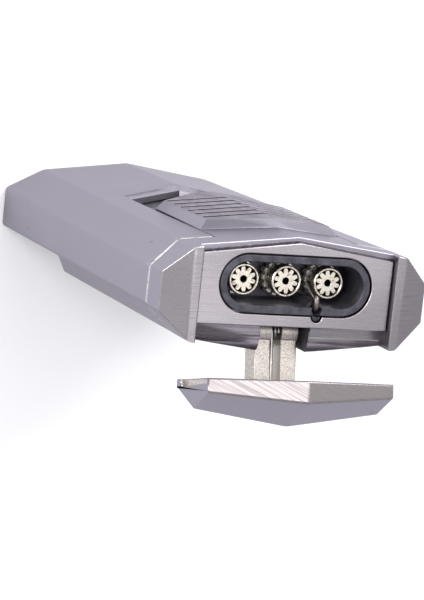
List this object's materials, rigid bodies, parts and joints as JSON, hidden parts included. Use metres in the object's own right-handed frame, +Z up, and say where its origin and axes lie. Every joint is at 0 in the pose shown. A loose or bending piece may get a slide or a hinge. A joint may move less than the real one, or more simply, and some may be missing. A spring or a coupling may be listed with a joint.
{
  "type": "torch lighter",
  "caption": "Metal pocket torch lighter with its flip lid open on a rear hinge, a ribbed thumb slide on the front and a row of star-faced gas jets in a slot-shaped burner well.",
  "frame": {"origin": "middle of the flat base that the lighter stands on", "axes": "+Z up the body towards the jets, -Y the front with the thumb slide, +X across the body"},
  "size_m": [0.038, 0.0264, 0.0803],
  "materials": {
    "gunmetal_satin": "satin gunmetal coat over die-cast zinc",
    "deck_satin": "satin, finely brushed",
    "black_oxide": "black oxide, satin",
    "bright_nickel": "bright nickel plate",
    "cast_nickel": "granular cast, nickel plated",
    "brass": "turned",
    "black_plastic": "moulded",
    "tank_plastic": "moulded, translucent grey",
    "ceramic": null,
    "steel": "zinc plated steel",
    "lead_jacket": "soft jacket"
  },
  "bodies": {
    "body": {"base_plate": "black_oxide", "base_screws": "steel", "body_shell": "gunmetal_satin", "burner_well": "black_oxide", "deck_plate": "deck_satin", "electrode": "steel", "electrode_sleeve": "ceramic", "fuel_tank": "tank_plastic", "gas_manifold": "brass", "gas_tube": "brass", "head_frame": "gunmetal_satin", "head_screws": "steel", "hinge_pin": "steel", "ignition_lead": "lead_jacket", "inner_frame": "black_plastic", "jet_1": "bright_nickel", "jet_2": "bright_nickel", "jet_3": "bright_nickel", "jet_collar_1": "bright_nickel", "jet_collar_2": "bright_nickel", "jet_collar_3": "bright_nickel", "jet_star_1": "bright_nickel", "jet_star_2": "bright_nickel", "jet_star_3": "bright_nickel", "lever_pin": "steel", "lid_spring": "steel", "piezo_body": "black_plastic", "piezo_spring": "steel", "refill_valve": "brass", "slide_track": "black_oxide", "tank_cap": "tank_plastic", "valve_body": "brass"},
    "lid": {"lid": "gunmetal_satin", "lid_arm": "cast_nickel", "lid_rivets": "steel"},
    "slide": {"trigger": "gunmetal_satin", "trigger_carrier": "black_plastic", "carrier_screw": "steel"},
    "plunger": {"piezo_plunger": "tank_plastic"},
    "lever": {"valve_lever": "steel"},
    "stem": {"valve_stem": "brass"},
    "filler": {"refill_stem": "brass"},
    "adjuster": {"flame_adjuster": "brass"}
  },
  "joints": [
    {"name": "lid_hinge", "type": "hinge", "parent": "body", "child": "lid", "pos_m": [0, 0.00558, 0.06528], "axis": [1, 0, 0], "range_deg": [0, 77.3], "stiffness_Nm_per_rad": 0.01, "springref_deg": -57.3, "deforming": ["lid_spring"]},
    {"name": "trigger_slide", "type": "slide", "parent": "body", "child": "slide", "axis": [0, 0, -1], "range_m": [0, 0.006], "stiffness_N_per_m": 900, "springref_m": -0.002, "deforming": ["piezo_spring"]},
    {"name": "plunger_push", "type": "slide", "parent": "body", "child": "plunger", "axis": [0, 0, -1], "range_m": [0, 0.006]},
    {"name": "lever_turn", "type": "hinge", "parent": "body", "child": "lever", "pos_m": [-0.005, 0.0024, 0.0318], "axis": [-1, 0, 0], "range_deg": [0, 9.7]},
    {"name": "valve_lift", "type": "slide", "parent": "body", "child": "stem", "axis": [0, 0, 1], "range_m": [0, 0.0003]},
    {"name": "refill_push", "type": "slide", "parent": "body", "child": "filler", "axis": [0, 0, 1], "range_m": [0, 0.001], "stiffness_N_per_m": 500, "springref_m": -0.001},
    {"name": "flame_turn", "type": "hinge", "parent": "body", "child": "adjuster", "pos_m": [-0.005, -0.0005, 0.001], "axis": [0, 0, 1], "range_deg": [-135, 135]}
  ],
  "couplings": [
    {"joint": "plunger_push", "follows": "trigger_slide", "ratio": 1},
    {"joint": "lever_turn", "follows": "trigger_slide", "rad_per_m": 28.167},
    {"joint": "valve_lift", "follows": "trigger_slide", "ratio": 0.05}
  ]
}
